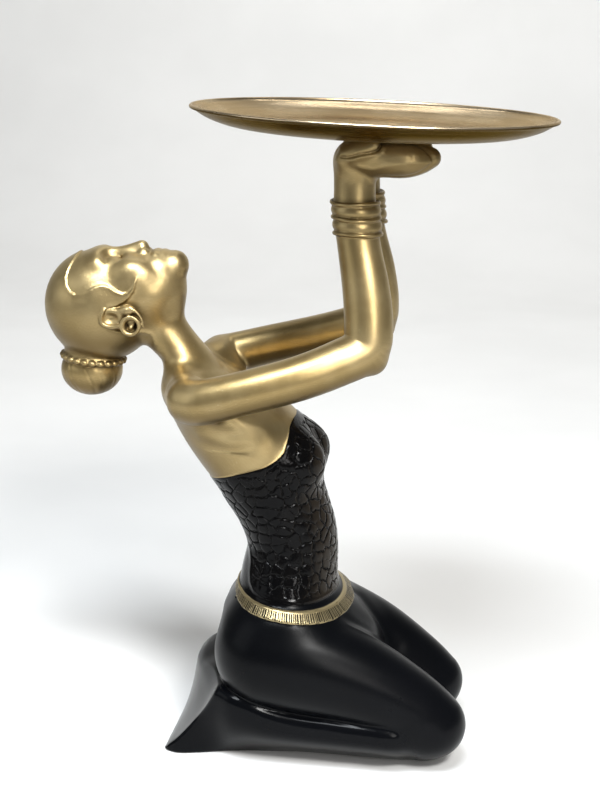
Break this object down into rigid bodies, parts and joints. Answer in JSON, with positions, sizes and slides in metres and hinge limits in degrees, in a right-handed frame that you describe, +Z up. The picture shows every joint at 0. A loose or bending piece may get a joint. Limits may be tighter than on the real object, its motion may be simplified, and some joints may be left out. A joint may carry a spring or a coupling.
{
  "type": "kneeling woman statue carrying a tray",
  "caption": "Kneeling woman leaning back with both forearms raised, open palms carrying a shallow round metal tray; painted statuette with crackled bodice and flared skirt.",
  "frame": {"origin": "middle of the bounding box in X and Y, at the flat underside the figure rests on", "axes": "+X the way the figure faces, +Y to its left, +Z up"},
  "size_m": [0.3398, 0.2388, 0.4475],
  "materials": {
    "painted_resin": "cast resin painted satin champagne gold on the skin and hair, gloss black on the bodice and satin black on the skirt",
    "tray_metal": "spun sheet, pale champagne tone, polished with fine turning marks"
  },
  "bodies": {
    "root": {"figure": "painted_resin", "tray": "tray_metal"}
  },
  "joints": []
}
